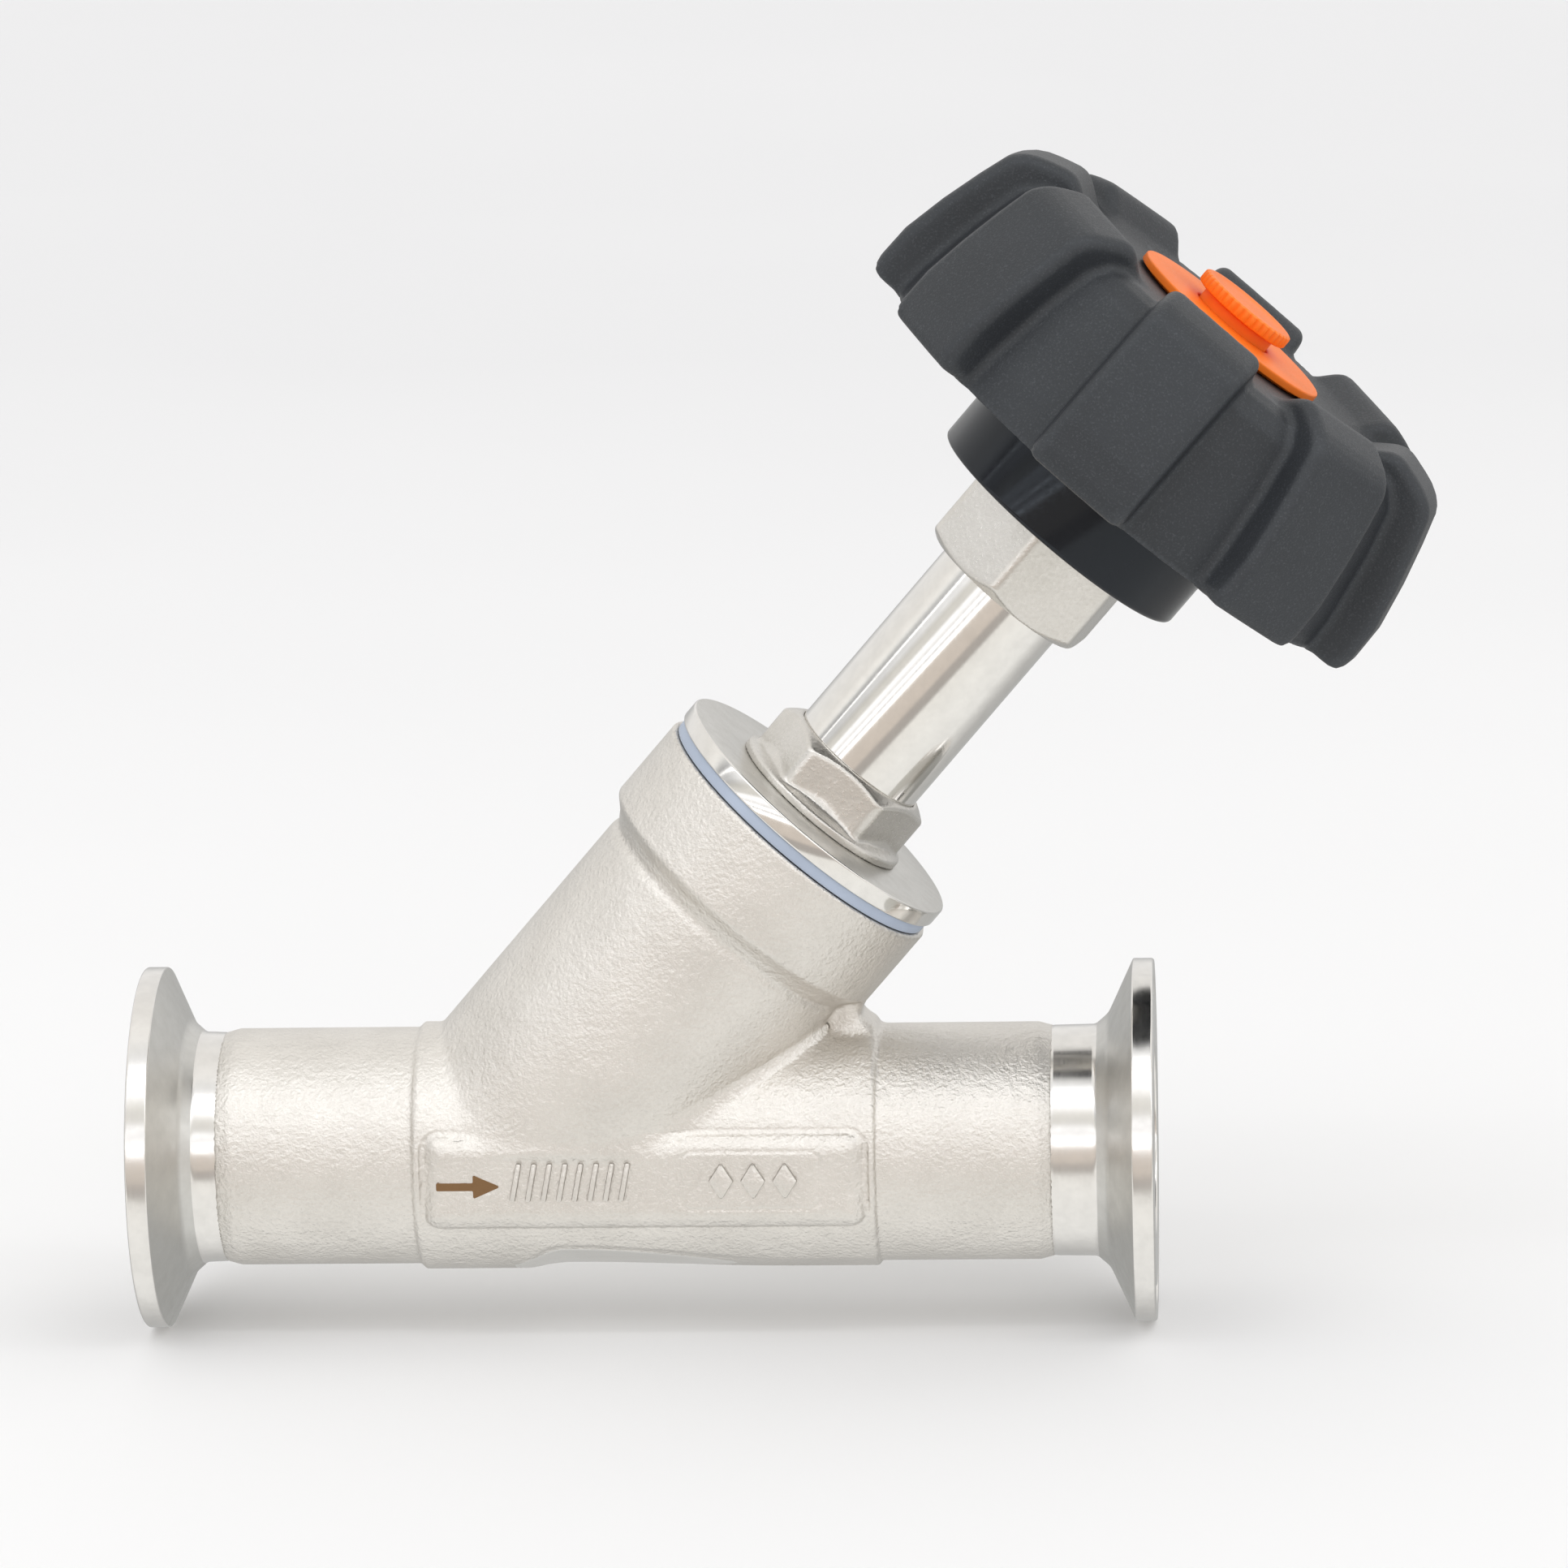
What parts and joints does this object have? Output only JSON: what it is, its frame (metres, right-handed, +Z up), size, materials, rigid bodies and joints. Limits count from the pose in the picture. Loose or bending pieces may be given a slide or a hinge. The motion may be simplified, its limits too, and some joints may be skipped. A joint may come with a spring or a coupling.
{
  "type": "angle seat valve",
  "caption": "Manual Y-pattern angle seat valve with clamp ferrule ends, inclined bonnet, lobed handwheel and a rising position indicator.",
  "frame": {"origin": "centre of the inlet ferrule's clamp face, on the pipe axis", "axes": "+X along the pipe in the direction of flow, +Z up in the plane that holds the pipe and the inclined bonnet, +Y across the pipe"},
  "size_m": [0.1808, 0.0856, 0.1639],
  "materials": {
    "cast_steel": "investment-cast stainless steel, bead blasted",
    "machined_steel": "turned stainless steel, satin and polished",
    "nut_steel": "cast stainless steel, lightly tumbled",
    "gasket": "blue-grey elastomer",
    "white_plastic": "white fluoropolymer",
    "spring_steel": "bright spring wire",
    "brass": "machined brass",
    "black_gloss": "glossy black plastic",
    "black_matte": "fine-grained charcoal plastic",
    "orange": "bright orange plastic"
  },
  "bodies": {
    "root": {"valve_body": "cast_steel", "inlet_ferrule": "machined_steel", "outlet_ferrule": "machined_steel", "cover_gasket": "gasket", "bonnet_cover": "machined_steel", "neck_locknut": "nut_steel", "neck_tube": "machined_steel", "union_nut": "nut_steel", "guide_bush": "white_plastic", "packing_rings": "white_plastic", "spring_seat": "machined_steel", "packing_spring": "spring_steel", "key_bush": "brass", "drive_housing": "black_gloss", "lower_thrust_washer": "white_plastic", "upper_thrust_washer": "white_plastic", "housing_cap": "machined_steel", "retaining_ring": "spring_steel"},
    "handwheel": {"drive_nut": "brass", "handwheel": "black_matte", "wheel_washer": "machined_steel", "wheel_nut": "nut_steel", "indicator_cover": "orange"},
    "stem": {"stem": "machined_steel", "plug": "machined_steel", "seat_seal": "white_plastic", "seal_washer": "machined_steel", "plug_nut": "nut_steel", "indicator_knob": "orange"}
  },
  "joints": [
    {"name": "handwheel_turn", "type": "hinge", "parent": "root", "child": "handwheel", "pos_m": [0.14545, 0, 0.10566], "axis": [0.6561, 0, 0.7547], "range_deg": [0, 1080]},
    {"name": "stem_lift", "type": "slide", "parent": "root", "child": "stem", "axis": [0.6561, 0, 0.7547], "range_m": [0, 0.012]}
  ],
  "couplings": [
    {"joint": "stem_lift", "follows": "handwheel_turn", "m_per_rad": 0.0006366}
  ]
}
